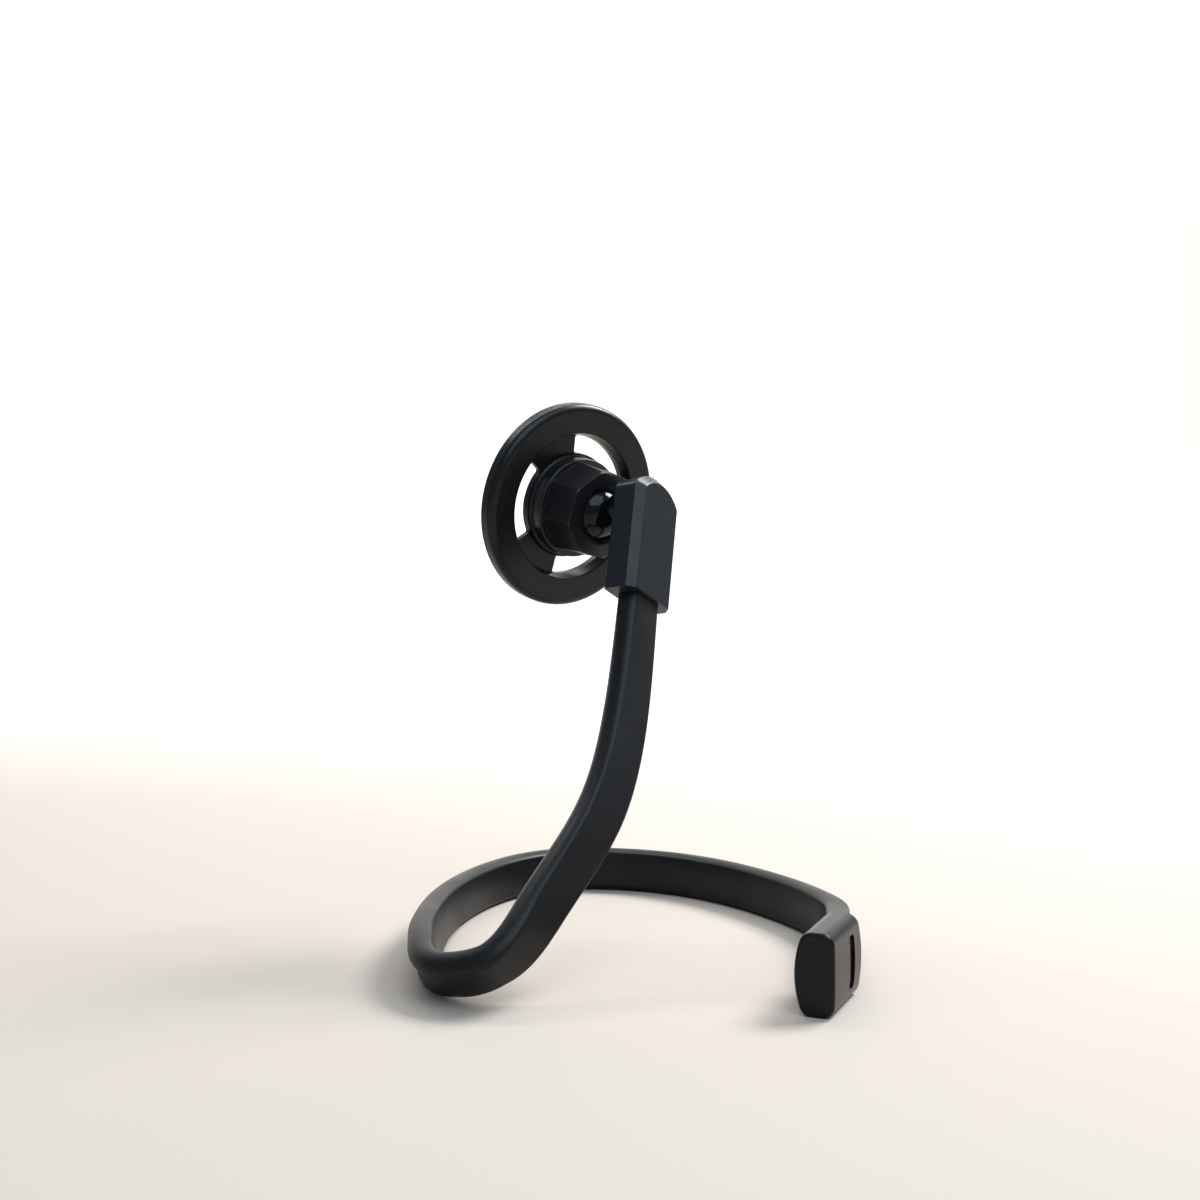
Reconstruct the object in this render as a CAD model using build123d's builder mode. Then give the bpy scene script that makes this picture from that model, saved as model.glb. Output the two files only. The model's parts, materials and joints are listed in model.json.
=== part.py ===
from build123d import *
import os
from math import cos, radians, sin, sqrt

# Bendable holder. A flat arm is bent into an open loop that stands by itself and rises as a stem, and the
# stem carries a magnetic ring on a ball joint with a lock nut.
# Millimetres, +Z up, it stands on z = 0, and the origin is under the middle of the loop.

# Arm: a soft skin moulded round two soft metal wires that keep the bend
strip_width = 13.5
strip_thickness = 6.5
strip_crown = 1.3
strip_corner = 1.2
wire_radius = 1.8
wire_pitch = 6.6
wire_clearance = 0.05
arm_stations = 36

# Lie of the arm
loop_half_width = 55.5
loop_half_depth = 67.5
stem_rise = 89.2
twist_lift = 0.35
foot_heading = 23.2
stem_lean_back = 21.9
stem_lean_side = 6.2

# Caps on the arm's ends
strip_clearance = 0.15
upper_cap_width = 21.7
upper_cap_thickness = 9.5
upper_cap_straight = 31.6
upper_cap_arch = 5.3
upper_cap_shoulder = 3.0
upper_cap_bevel = 2.3
upper_cap_bevel_round = 0.5
upper_cap_stud_round = 0.8
strip_in_upper_cap = 20.0
foot_height = 19.7
foot_thickness = 7.5
foot_length = 23.0
foot_inner_bulge = 2.1
foot_front_bulge = 0.15
foot_rear_bulge = 1.2
foot_shift = 0.55
foot_corner = 3.2
foot_front_round = 0.9
foot_sole_trim = 0.2
strip_in_foot = 14.0
foot_groove_length = 12.8
foot_groove_width = 4.2
foot_groove_corner = 1.1
foot_groove_depth = 0.5
foot_groove_from_rear = 7.6

# Ball stud, screwed into a threaded insert in the upper cap
ball_radius = 8.5
ball_reach = 14.0
neck_radius = 3.9
stud_flange_radius = 5.2
stud_flange_height = 1.0
stud_shank_radius = 2.5
stud_shank_length = 5.4
stud_height = 30.4
stud_fit = 0.06
stud_face_gap = 0.1
insert_radius = 4.0
insert_length = 6.0
insert_fit = 0.03

# Direction that the ring faces
head_azimuth = 129.7
head_elevation = 13.4

# Ring head, measured along its axis from the face of the pad
pad_thickness = 0.8
pad_edge_inset = 0.9
face_ring_thickness = 1.0
magnet_thickness = 2.3
back_plate_thickness = 0.6
ring_rear_wall = 1.3
ring_radius = 30.6
ring_rear_round = 2.2
ring_front_round = 0.6
ring_width = 8.6
ring_bore_step = 1.0
ring_bore_round = 0.6
ring_inner_wall = 1.6
ring_outer_wall = 2.3
groove_fit = 0.1
magnet_count = 16
magnet_gap = 1.2
magnet_side_gap = 0.2

# Spokes and hub of the rear housing
web_front = 1.2
web_thickness = 1.6
window_count = 3
window_half_angle = 35.5
window_centre_angle = 58.0
window_corner = 0.8
hub_radius = 15.8
hub_height = 1.8
hub_round = 1.4
hub_floor = 1.6
edge_match = 0.1

# Socket: spring fingers round the ball, and the seat under it
ball_depth = 14.8
socket_clearance = 0.2
finger_wall = 1.8
finger_overhang = 3.0
finger_tip_wall = 1.1
finger_taper_length = 2.6
finger_slot_width = 1.4
finger_slot_floor = 3.0
seat_clearance = 0.15
seat_side_fit = 0.08
seat_floor_gap = 0.1
seat_wrap = 5.2

# Lock nut
nut_hub_gap = 0.4
nut_thread_fit = 0.2
nut_tip_gap = 0.3
nut_front_wall = 1.6
nut_mouth_chamfer = 0.6
nut_skirt_radius = 14.8
nut_skirt_height = 3.4
nut_skirt_round = 0.5
nut_front_radius = 12.6
nut_flat_count = 8
nut_flat_radius = 13.0
nut_flat_taper = 5.5
nut_flat_turn = 12.0

base_height = strip_width / 2
foot_lift = foot_height / 2 - base_height
twist_height = base_height + twist_lift

# The arm's route: across the loop, along it, height, and where the strip's upper edge points
arm_route = [
    (0.926, -0.739, base_height + foot_lift, (0, 0, 1)),
    (0.965, -0.60, base_height + 0.75 * foot_lift, (0, 0, 1)),
    (0.99, -0.31, base_height + 0.25 * foot_lift, (0, 0, 1)),
    (1.012, -0.15, base_height + 0.14 * foot_lift, (0, 0, 1)),
    (0.987, 0.00, base_height + 0.07 * foot_lift, (0, 0, 1)),
    (0.78, 0.42, base_height, (0, 0, 1)),
    (0.22, 0.92, base_height, (0, 0, 1)),
    (-0.40, 0.99, base_height, (0, 0, 1)),
    (-0.84, 0.53, base_height, (0, 0, 1)),
    (-0.98, -0.26, twist_height, (-0.16, 0, 0.99)),
    (-0.94, -0.63, twist_height, (-0.28, -0.08, 0.96)),
    (-0.80, -0.88, twist_height, (-0.59, -0.51, 0.62)),
    (-0.60, -0.94, base_height + 0.045 * stem_rise, (-0.29, -0.75, 0.60)),
    (-0.41, -0.82, base_height + 0.17 * stem_rise, (-0.50, -0.47, 0.73)),
    (-0.15, -0.53, base_height + 0.40 * stem_rise, (-0.68, -0.37, 0.63)),
    (-0.04, -0.31, base_height + 0.62 * stem_rise, (-0.68, -0.55, 0.48)),
    (0.04, -0.04, base_height + stem_rise, (-0.54, -0.76, 0.36)),
]
route_points = [Vector(x * loop_half_width, y * loop_half_depth, z) for x, y, z, edge in arm_route]
route_edges = [Vector(*edge) for x, y, z, edge in arm_route]

foot_tangent = Vector(sin(radians(foot_heading)), cos(radians(foot_heading)), 0)
stem_tangent = Vector(
    cos(radians(stem_lean_back)) * sin(radians(stem_lean_side)),
    sin(radians(stem_lean_back)),
    cos(radians(stem_lean_back)) * cos(radians(stem_lean_side)),
)

with BuildLine() as arm_line:
    Spline(*route_points, tangents=(foot_tangent, stem_tangent), tangent_scalars=(1, 1))
arm_curve = arm_line.line

run_lengths = [(end - start).length for start, end in zip(route_points, route_points[1:])]
route_shares = [sum(run_lengths[:count]) / sum(run_lengths) for count in range(len(route_points))]


def edge_direction(share):
    """Direction of the strip's upper edge at a share of the arm's length."""
    for index in range(len(route_shares) - 1):
        start, end = route_shares[index], route_shares[index + 1]
        if share <= end:
            blend = (share - start) / (end - start)
            return route_edges[index] * (1 - blend) + route_edges[index + 1] * blend
    return route_edges[-1]


def arm_plane(share):
    """Section plane of the arm: x along the strip's width, y out of the loop, z along the arm."""
    along = arm_curve % share
    edge = edge_direction(share)
    return Plane(origin=arm_curve @ share, x_dir=edge - along * edge.dot(along), z_dir=along)


foot_plane = arm_plane(0)
cap_plane = arm_plane(1)
strip_planes = [arm_plane(index / arm_stations) for index in range(arm_stations + 1)]
wire_sides = {"inner": -wire_pitch / 2, "outer": wire_pitch / 2}


def arm_length(section):
    """A flat section drawn out along the whole arm, straight inside the two caps."""
    with BuildPart() as length:
        for plane in strip_planes:
            with BuildSketch(plane):
                add(section)
        loft()
        with BuildSketch(foot_plane):
            add(section)
        extrude(amount=-strip_in_foot)
        with BuildSketch(cap_plane):
            add(section)
        extrude(amount=strip_in_upper_cap)
    return length.part


def wire_section(offset, radius):
    """Round section beside the middle of the strip."""
    with BuildSketch() as section:
        with Locations((offset, 0)):
            Circle(radius)
    return section.sketch


# Arm skin: flat on both faces, crowned along both edges, with two bores for the wires
flat_reach = strip_width / 2 - strip_crown
flat_level = strip_thickness / 2
with BuildSketch() as strip_section:
    with BuildLine():
        upper_crown = ThreePointArc(
            (flat_reach, -flat_level), (strip_width / 2, 0), (flat_reach, flat_level)
        )
        lower_crown = ThreePointArc(
            (-flat_reach, -flat_level), (-strip_width / 2, 0), (-flat_reach, flat_level)
        )
        Line(upper_crown @ 0, lower_crown @ 0)
        Line(upper_crown @ 1, lower_crown @ 1)
    make_face()
    fillet(strip_section.vertices(), strip_corner)

with BuildSketch() as strip_recess:
    add(strip_section.sketch)
    offset(amount=strip_clearance)

with BuildPart() as arm_skin:
    add(arm_length(strip_section.sketch))
    for offset in wire_sides.values():
        add(arm_length(wire_section(offset, wire_radius + wire_clearance)), mode=Mode.SUBTRACT)


# Upper cap: an arched block over the stem's end
cap_up = Axis(cap_plane.origin, cap_plane.z_dir)
cap_out = Axis(cap_plane.origin, cap_plane.y_dir)
cap_face = Plane(origin=cap_plane.origin, x_dir=-cap_plane.x_dir, z_dir=cap_plane.y_dir)
stud_foot = (
    cap_plane.origin + cap_plane.z_dir * stud_height - cap_plane.y_dir * (upper_cap_thickness / 2)
)
stud_plane = Plane(origin=stud_foot, x_dir=cap_plane.x_dir, z_dir=-cap_plane.y_dir)
stud_section = Plane(origin=stud_foot, x_dir=stud_plane.x_dir, z_dir=-stud_plane.y_dir)
stud_axis = Axis(stud_foot, stud_plane.z_dir)

with BuildPart() as upper_cap:
    with BuildSketch(cap_face.offset(-upper_cap_thickness / 2)) as tombstone:
        with BuildLine():
            near_side = Line((-upper_cap_width / 2, 0), (-upper_cap_width / 2, upper_cap_straight))
            far_side = Line((upper_cap_width / 2, 0), (upper_cap_width / 2, upper_cap_straight))
            ThreePointArc(near_side @ 1, (0, upper_cap_straight + upper_cap_arch), far_side @ 1)
            Line(near_side @ 0, far_side @ 0)
        make_face()
        fillet(tombstone.vertices().group_by(Axis.Y)[-1], upper_cap_shoulder)
    extrude(amount=upper_cap_thickness)
    front_edges = upper_cap.faces().sort_by(cap_out)[-1].edges().sort_by(cap_up)[1:]
    chamfer(front_edges, upper_cap_bevel)
    bevelled_face = upper_cap.faces().sort_by(cap_out)[-1]
    fillet(bevelled_face.edges().sort_by(cap_up)[1:], upper_cap_bevel_round)
    stud_side_edges = upper_cap.faces().sort_by(cap_out)[0].edges().sort_by(cap_up)[1:]
    fillet(stud_side_edges, upper_cap_stud_round)
    with BuildSketch(cap_plane):
        add(strip_recess.sketch)
    extrude(amount=strip_in_upper_cap + strip_clearance, mode=Mode.SUBTRACT)
    with BuildSketch(stud_plane):
        Circle(insert_radius + insert_fit)
    extrude(amount=-insert_length - insert_fit, mode=Mode.SUBTRACT)

# Foot cap: a block on the free end, bulged on the inside of the loop and cut flat underneath
foot_back = Axis(foot_plane.origin, foot_plane.z_dir)
foot_bottom = -foot_height / 2 - foot_sole_trim
foot_top = foot_height / 2
foot_outer = foot_thickness / 2 - foot_shift
foot_inner = -foot_thickness / 2 - foot_shift
groove_level = foot_outer + foot_front_bulge
groove_plane = Plane(
    origin=foot_plane.origin + foot_plane.y_dir * groove_level - foot_plane.z_dir * foot_groove_from_rear,
    x_dir=foot_plane.x_dir,
    z_dir=foot_plane.y_dir,
)

with BuildPart() as foot_cap:
    for distance, bulge in ((-foot_length, foot_front_bulge), (0, foot_rear_bulge)):
        with BuildSketch(foot_plane.offset(distance)) as foot_section:
            with BuildLine():
                outer_side = ThreePointArc(
                    (foot_bottom, foot_outer), (0, foot_outer + bulge), (foot_top, foot_outer)
                )
                inner_side = ThreePointArc(
                    (foot_bottom, foot_inner), (0, foot_inner - foot_inner_bulge), (foot_top, foot_inner)
                )
                Line(outer_side @ 0, inner_side @ 0)
                Line(outer_side @ 1, inner_side @ 1)
            make_face()
            fillet(foot_section.vertices(), foot_corner)
    loft()
    fillet(foot_cap.faces().sort_by(foot_back)[0].edges(), foot_front_round)
    split(bisect_by=Plane.XY, keep=Keep.TOP)
    with BuildSketch(foot_plane):
        add(strip_recess.sketch)
    extrude(amount=-strip_in_foot - strip_clearance, mode=Mode.SUBTRACT)
    with BuildSketch(groove_plane.offset(-foot_groove_depth)):
        RectangleRounded(foot_groove_length, foot_groove_width, foot_groove_corner)
    extrude(amount=foot_groove_depth + foot_rear_bulge, mode=Mode.SUBTRACT)

# Threaded insert in the upper cap
with BuildPart() as stud_insert:
    with BuildSketch(stud_plane):
        Circle(insert_radius)
        Circle(stud_shank_radius + stud_fit, mode=Mode.SUBTRACT)
    extrude(amount=-insert_length)

# Ball stud
ball_start = ball_reach - sqrt(ball_radius**2 - neck_radius**2)
with BuildPart() as ball_stud:
    with BuildSketch(stud_section):
        with BuildLine():
            Polyline(
                (0, ball_reach + ball_radius),
                (0, -stud_shank_length),
                (stud_shank_radius, -stud_shank_length),
                (stud_shank_radius, stud_face_gap),
                (stud_flange_radius, stud_face_gap),
                (stud_flange_radius, stud_face_gap + stud_flange_height),
                (neck_radius, stud_face_gap + stud_flange_height),
                (neck_radius, ball_start),
            )
            ThreePointArc(
                (neck_radius, ball_start), (ball_radius, ball_reach), (0, ball_reach + ball_radius)
            )
        make_face()
    revolve(axis=stud_axis)

# Frame of the ring head: the pad's face is its origin, and z runs back towards the stem
facing = Vector(
    cos(radians(head_elevation)) * cos(radians(head_azimuth)),
    cos(radians(head_elevation)) * sin(radians(head_azimuth)),
    sin(radians(head_elevation)),
)
ball_centre = stud_foot + stud_plane.z_dir * ball_reach
head_origin = ball_centre + facing * ball_depth
head_plane = Plane(origin=head_origin, x_dir=facing.cross(Vector(0, 0, 1)), z_dir=-facing)
head_section = Plane(origin=head_origin, x_dir=head_plane.x_dir, z_dir=-head_plane.y_dir)
head_axis = Axis(head_origin, head_plane.z_dir)

face_ring_front = pad_thickness
magnet_front = face_ring_front + face_ring_thickness
back_plate_front = magnet_front + magnet_thickness
groove_floor = back_plate_front + back_plate_thickness
ring_rear = groove_floor + ring_rear_wall
ring_bore_rear_radius = ring_radius - ring_width
ring_bore_web_radius = ring_bore_rear_radius - ring_bore_step
groove_inner_radius = ring_bore_web_radius + ring_inner_wall
groove_outer_radius = ring_radius - ring_outer_wall
web_rear = web_front + web_thickness
hub_rear = web_rear + hub_height
socket_floor = web_front + hub_floor
socket_radius = ball_radius + socket_clearance
finger_radius = socket_radius + finger_wall
finger_tip = ball_depth + finger_overhang
finger_tip_bore = sqrt(socket_radius**2 - finger_overhang**2)
finger_tip_radius = finger_tip_bore + finger_tip_wall
finger_taper_start = finger_tip - finger_taper_length


def circles_of(part, radius):
    """Round edges of one radius on a part of the head, from the pad back towards the stem."""
    circles = part.edges().filter_by(GeomType.CIRCLE)
    return circles.filter_by(lambda edge: abs(edge.radius - radius) < edge_match).sort_by(head_axis)


# Cut-outs between the three spokes
with BuildSketch() as window:
    with BuildLine():
        window_outer = CenterArc((0, 0), ring_bore_web_radius, -window_half_angle, 2 * window_half_angle)
        window_inner = CenterArc((0, 0), hub_radius, -window_half_angle, 2 * window_half_angle)
        Line(window_outer @ 0, window_inner @ 0)
        Line(window_outer @ 1, window_inner @ 1)
    make_face()
    fillet(window.vertices(), window_corner)

# Rear housing: rim, spokes, hub and the slotted collar round the ball, moulded as one
with BuildPart() as rear_housing:
    with BuildSketch(head_section):
        with BuildLine():
            Polyline(
                (socket_radius, ball_depth),
                (socket_radius, socket_floor),
                (0, socket_floor),
                (0, web_front),
                (ring_bore_web_radius, web_front),
                (ring_bore_web_radius, face_ring_front),
                (groove_inner_radius, face_ring_front),
                (groove_inner_radius, groove_floor),
                (groove_outer_radius, groove_floor),
                (groove_outer_radius, face_ring_front),
                (ring_radius, face_ring_front),
                (ring_radius, ring_rear),
                (ring_bore_rear_radius, ring_rear),
                (ring_bore_web_radius, web_rear),
                (hub_radius, web_rear),
                (hub_radius, hub_rear),
                (finger_radius, hub_rear),
                (finger_radius, finger_taper_start),
                (finger_tip_radius, finger_tip),
                (finger_tip_bore, finger_tip),
            )
            RadiusArc((finger_tip_bore, finger_tip), (socket_radius, ball_depth), socket_radius)
        make_face()
    revolve(axis=head_axis)
    fillet(circles_of(rear_housing, ring_radius)[-1], ring_rear_round)
    fillet(circles_of(rear_housing, ring_radius)[0], ring_front_round)
    fillet(circles_of(rear_housing, ring_bore_rear_radius)[-1], ring_bore_round)
    fillet(circles_of(rear_housing, hub_radius)[-1], hub_round)
    with BuildSketch(head_plane.offset(web_front)):
        with PolarLocations(0, window_count, start_angle=window_centre_angle):
            add(window.sketch)
    extrude(amount=web_thickness, mode=Mode.SUBTRACT)
    with BuildSketch(head_plane.offset(finger_tip)):
        with PolarLocations(0, 2, start_angle=window_centre_angle, angular_range=180):
            Rectangle(2 * finger_radius + finger_wall, finger_slot_width)
    extrude(amount=hub_rear + finger_slot_floor - finger_tip, mode=Mode.SUBTRACT)

# Seat under the ball
seat_radius = ball_radius + seat_clearance
seat_bottom = socket_floor + seat_floor_gap
seat_top = ball_depth - seat_wrap
seat_mouth = sqrt(seat_radius**2 - seat_wrap**2)
seat_side = socket_radius - seat_side_fit
with BuildPart() as ball_seat:
    with BuildSketch(head_section):
        with BuildLine():
            Polyline(
                (0, ball_depth - seat_radius),
                (0, seat_bottom),
                (seat_side, seat_bottom),
                (seat_side, seat_top),
                (seat_mouth, seat_top),
            )
            RadiusArc((seat_mouth, seat_top), (0, ball_depth - seat_radius), seat_radius)
        make_face()
    revolve(axis=head_axis)

# Lock nut: round skirt, eight tapering flats with chamfered corners, and a mouth that holds the ball in
nut_back = hub_rear + nut_hub_gap
nut_bore = finger_radius + nut_thread_fit
nut_tip_bore = finger_tip_radius + nut_thread_fit
nut_inner_face = finger_tip + nut_tip_gap
nut_front = nut_inner_face + nut_front_wall
nut_throat = nut_front - nut_mouth_chamfer
throat_inner_radius = sqrt(socket_radius**2 - (nut_inner_face - ball_depth) ** 2)
throat_radius = sqrt(socket_radius**2 - (nut_throat - ball_depth) ** 2)
nut_chamfer_start = nut_front - (nut_skirt_radius - nut_front_radius)
with BuildPart() as nut_outside:
    with BuildSketch(head_plane.offset(nut_front)):
        RegularPolygon(nut_flat_radius, nut_flat_count, rotation=nut_flat_turn)
    extrude(amount=nut_back - nut_front, taper=-nut_flat_taper)
    with BuildSketch(head_plane.offset(nut_back)):
        Circle(nut_skirt_radius)
    extrude(amount=nut_skirt_height)

with BuildPart() as lock_nut:
    with BuildSketch(head_section):
        with BuildLine():
            Polyline(
                (throat_inner_radius, nut_inner_face),
                (nut_tip_bore, nut_inner_face),
                (nut_bore, finger_taper_start),
                (nut_bore, nut_back),
                (nut_skirt_radius, nut_back),
                (nut_skirt_radius, nut_chamfer_start),
                (nut_front_radius, nut_front),
                (throat_radius + 2 * nut_mouth_chamfer, nut_front),
                (throat_radius, nut_throat),
            )
            RadiusArc((throat_radius, nut_throat), (throat_inner_radius, nut_inner_face), socket_radius)
        make_face()
    revolve(axis=head_axis)
    add(nut_outside.part, mode=Mode.INTERSECT)
    fillet(circles_of(lock_nut, nut_skirt_radius)[-1], nut_skirt_round)

# Ring magnet with its steel back plate
magnet_inner_radius = groove_inner_radius + magnet_side_gap
magnet_outer_radius = groove_outer_radius - magnet_side_gap
with BuildPart() as back_plate:
    with BuildSketch(head_plane.offset(back_plate_front)):
        Circle(groove_outer_radius - groove_fit)
        Circle(groove_inner_radius + groove_fit, mode=Mode.SUBTRACT)
    extrude(amount=back_plate_thickness)


def arc_magnet(index):
    """One arc magnet of the ring, counted round the head's axis."""
    pitch = 360 / magnet_count
    span = pitch - magnet_gap
    with BuildPart() as magnet:
        with BuildSketch(head_plane.offset(magnet_front)):
            with BuildLine():
                outer_arc = CenterArc((0, 0), magnet_outer_radius, index * pitch, span)
                inner_arc = CenterArc((0, 0), magnet_inner_radius, index * pitch, span)
                Line(outer_arc @ 0, inner_arc @ 0)
                Line(outer_arc @ 1, inner_arc @ 1)
            make_face()
        extrude(amount=magnet_thickness)
    return magnet.part


# Front cover of the groove, and the soft pad on the front
with BuildPart() as face_ring:
    with BuildSketch(head_plane.offset(face_ring_front)):
        Circle(groove_outer_radius - groove_fit)
        Circle(groove_inner_radius + groove_fit, mode=Mode.SUBTRACT)
    extrude(amount=face_ring_thickness)

with BuildPart() as face_pad:
    with BuildSketch(head_plane):
        Circle(ring_radius - pad_edge_inset)
        Circle(ring_bore_web_radius + pad_edge_inset, mode=Mode.SUBTRACT)
    extrude(amount=pad_thickness)

pieces = {
    "arm_skin": arm_skin.part,
    "upper_cap": upper_cap.part,
    "foot_cap": foot_cap.part,
    "stud_insert": stud_insert.part,
    "ball_stud": ball_stud.part,
    "ball_seat": ball_seat.part,
    "rear_housing": rear_housing.part,
    "lock_nut": lock_nut.part,
    "back_plate": back_plate.part,
    "face_ring": face_ring.part,
    "face_pad": face_pad.part,
}
for side, offset in wire_sides.items():
    pieces[f"core_wire_{side}"] = arm_length(wire_section(offset, wire_radius))
for index in range(magnet_count):
    pieces[f"magnet_{index + 1:02d}"] = arc_magnet(index)

os.makedirs("parts", exist_ok=True)
for name, piece in pieces.items():
    piece.label = name
    export_step(piece, f"parts/{name}.step")
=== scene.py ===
"""Looks of a bendable magnetic holder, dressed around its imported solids.

Metres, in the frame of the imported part: +Z is up and the holder stands on z = 0.
"""

import json
import logging
import math
from dataclasses import dataclass
from enum import Enum

import bmesh
import bpy
import numpy as np
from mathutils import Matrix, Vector


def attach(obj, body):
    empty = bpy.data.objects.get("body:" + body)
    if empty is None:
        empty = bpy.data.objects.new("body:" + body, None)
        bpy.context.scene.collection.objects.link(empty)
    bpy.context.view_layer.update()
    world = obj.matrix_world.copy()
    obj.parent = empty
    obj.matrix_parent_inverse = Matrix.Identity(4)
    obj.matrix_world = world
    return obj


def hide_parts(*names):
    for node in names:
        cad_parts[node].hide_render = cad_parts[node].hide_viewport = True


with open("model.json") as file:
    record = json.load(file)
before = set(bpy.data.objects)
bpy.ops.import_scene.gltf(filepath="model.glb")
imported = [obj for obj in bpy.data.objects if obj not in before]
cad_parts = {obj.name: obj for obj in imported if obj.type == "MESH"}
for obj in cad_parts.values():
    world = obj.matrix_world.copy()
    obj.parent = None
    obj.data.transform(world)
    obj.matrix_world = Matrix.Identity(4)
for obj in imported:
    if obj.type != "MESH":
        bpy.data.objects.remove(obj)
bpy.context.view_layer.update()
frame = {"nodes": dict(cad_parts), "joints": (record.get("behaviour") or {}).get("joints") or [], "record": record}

Colour = tuple[float, float, float]
Point = tuple[float, float, float]
Range = tuple[float, float]
Section = tuple[Vector, Vector, Vector]
Socket = bpy.types.NodeSocket

MILLIMETRE = 0.001
QUARTER_TURN = math.pi / 2

# Sockets of the mix node, which share their names and so are told apart by number
MIX_SHARE = 0
VALUE_LOW = 2
VALUE_HIGH = 3
VALUE_RESULT = 0
COLOUR_LOW = 6
COLOUR_HIGH = 7
COLOUR_RESULT = 2

log = logging.getLogger("holder")


class NodeSheet:
    """A node tree with short ways to add and join its nodes."""

    def __init__(self, tree: bpy.types.NodeTree) -> None:
        """Keeps the tree to work on."""
        self.tree = tree

    def add(self, kind: str, **settings: object) -> bpy.types.Node:
        """Adds a node.

        Args:
            kind: Blender's name of the node type.
            settings: Properties of the node, set by name.

        Returns:
            The new node.
        """
        node = self.tree.nodes.new(kind)
        for name, value in settings.items():
            setattr(node, name, value)
        return node

    def join(self, source: Socket, target: Socket) -> None:
        """Links an output socket to an input socket."""
        self.tree.links.new(source, target)

    def place(self) -> Socket:
        """Gives the point of the surface that is looked up in a texture."""
        return self.add("ShaderNodeTexCoord").outputs["Object"]

    def noise(self, place: Socket, detail: float, scale: Socket | float) -> Socket:
        """Adds a noise texture.

        Args:
            place: Point to look up.
            detail: Octaves of finer noise.
            scale: Waves in a metre, as a number or as a socket that gives it.

        Returns:
            The socket of the noise, about 0.5 on average.
        """
        node = self.add("ShaderNodeTexNoise")
        node.inputs["Detail"].default_value = detail
        if isinstance(scale, float):
            node.inputs["Scale"].default_value = scale
        else:
            self.join(scale, node.inputs["Scale"])
        self.join(place, node.inputs["Vector"])
        return node.outputs["Fac"]

    def spread(self, value: Socket, low: float, high: float) -> Socket:
        """Stretches a range of values to 0 and 1.

        Args:
            value: Socket to stretch.
            low: Value that becomes 0.
            high: Value that becomes 1.

        Returns:
            The socket of the stretched value.
        """
        node = self.add("ShaderNodeMapRange")
        node.inputs["From Min"].default_value = low
        node.inputs["From Max"].default_value = high
        self.join(value, node.inputs["Value"])
        return node.outputs["Result"]

    def times(self, first: Socket, second: Socket) -> Socket:
        """Multiplies two values.

        Args:
            first: Socket of one value.
            second: Socket of the other.

        Returns:
            The socket of the product.
        """
        node = self.add("ShaderNodeMath", operation="MULTIPLY")
        self.join(first, node.inputs[0])
        self.join(second, node.inputs[1])
        return node.outputs[0]

    def between(self, share: Socket, low: Socket, high: Socket) -> Socket:
        """Blends two values.

        Args:
            share: 0 gives the low value, 1 the high one.
            low: Socket of the first value.
            high: Socket of the second value.

        Returns:
            The socket of the blended value.
        """
        node = self.add("ShaderNodeMix", data_type="FLOAT")
        self.join(share, node.inputs[MIX_SHARE])
        self.join(low, node.inputs[VALUE_LOW])
        self.join(high, node.inputs[VALUE_HIGH])
        return node.outputs[VALUE_RESULT]

    def tint(self, share: Socket, low: Socket | Colour, high: Colour) -> Socket:
        """Blends two colours.

        Args:
            share: 0 gives the low colour, 1 the high one.
            low: First colour, or a socket that gives it.
            high: Second colour.

        Returns:
            The socket of the blended colour.
        """
        node = self.add("ShaderNodeMix", data_type="RGBA")
        self.join(share, node.inputs[MIX_SHARE])
        if isinstance(low, tuple):
            node.inputs[COLOUR_LOW].default_value = (*low, 1.0)
        else:
            self.join(low, node.inputs[COLOUR_LOW])
        node.inputs[COLOUR_HIGH].default_value = (*high, 1.0)
        return node.outputs[COLOUR_RESULT]

    def effect(self, group: bpy.types.ShaderNodeTree, **values: float) -> bpy.types.Node:
        """Places a shared effect.

        Args:
            group: The effect's node group.
            values: Values of its inputs, by name.

        Returns:
            The group node.
        """
        node = self.add("ShaderNodeGroup", node_tree=group)
        for name, value in values.items():
            node.inputs[name].default_value = value
        return node


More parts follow.
